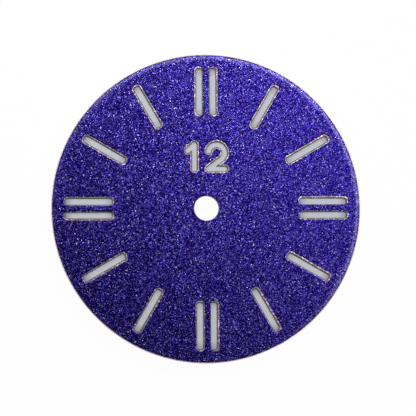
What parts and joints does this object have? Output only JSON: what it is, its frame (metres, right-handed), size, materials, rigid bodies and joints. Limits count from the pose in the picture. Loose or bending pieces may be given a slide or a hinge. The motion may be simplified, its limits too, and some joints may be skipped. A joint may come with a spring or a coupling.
{
  "type": "watch dial",
  "caption": "Round sandwich watch dial: a violet-blue glitter face on a brass plate with cut-out hour bars and a numeral over a luminous layer, on a base plate with soldered feet.",
  "frame": {"origin": "centre of the middle hole, on the back face that rests on the movement", "axes": "+Z out of the face, towards the wearer; +Y towards 12 o'clock; +X towards 3 o'clock"},
  "size_m": [0.0285, 0.0284, 0.003],
  "materials": {
    "glitter_lacquer": "gloss",
    "plate_brass": "satin",
    "clear_adhesive": "gloss",
    "luminous_compound": "matte",
    "foot_copper": "satin",
    "tin_solder": "satin"
  },
  "bodies": {
    "root": {"glitter_coat": "glitter_lacquer", "top_plate": "plate_brass", "adhesive_film": "clear_adhesive", "lume_layer": "luminous_compound", "base_plate": "plate_brass", "foot_1": "foot_copper", "foot_2": "foot_copper", "foot_3": "foot_copper", "foot_4": "foot_copper", "solder_1": "tin_solder", "solder_2": "tin_solder", "solder_3": "tin_solder", "solder_4": "tin_solder"}
  },
  "joints": []
}
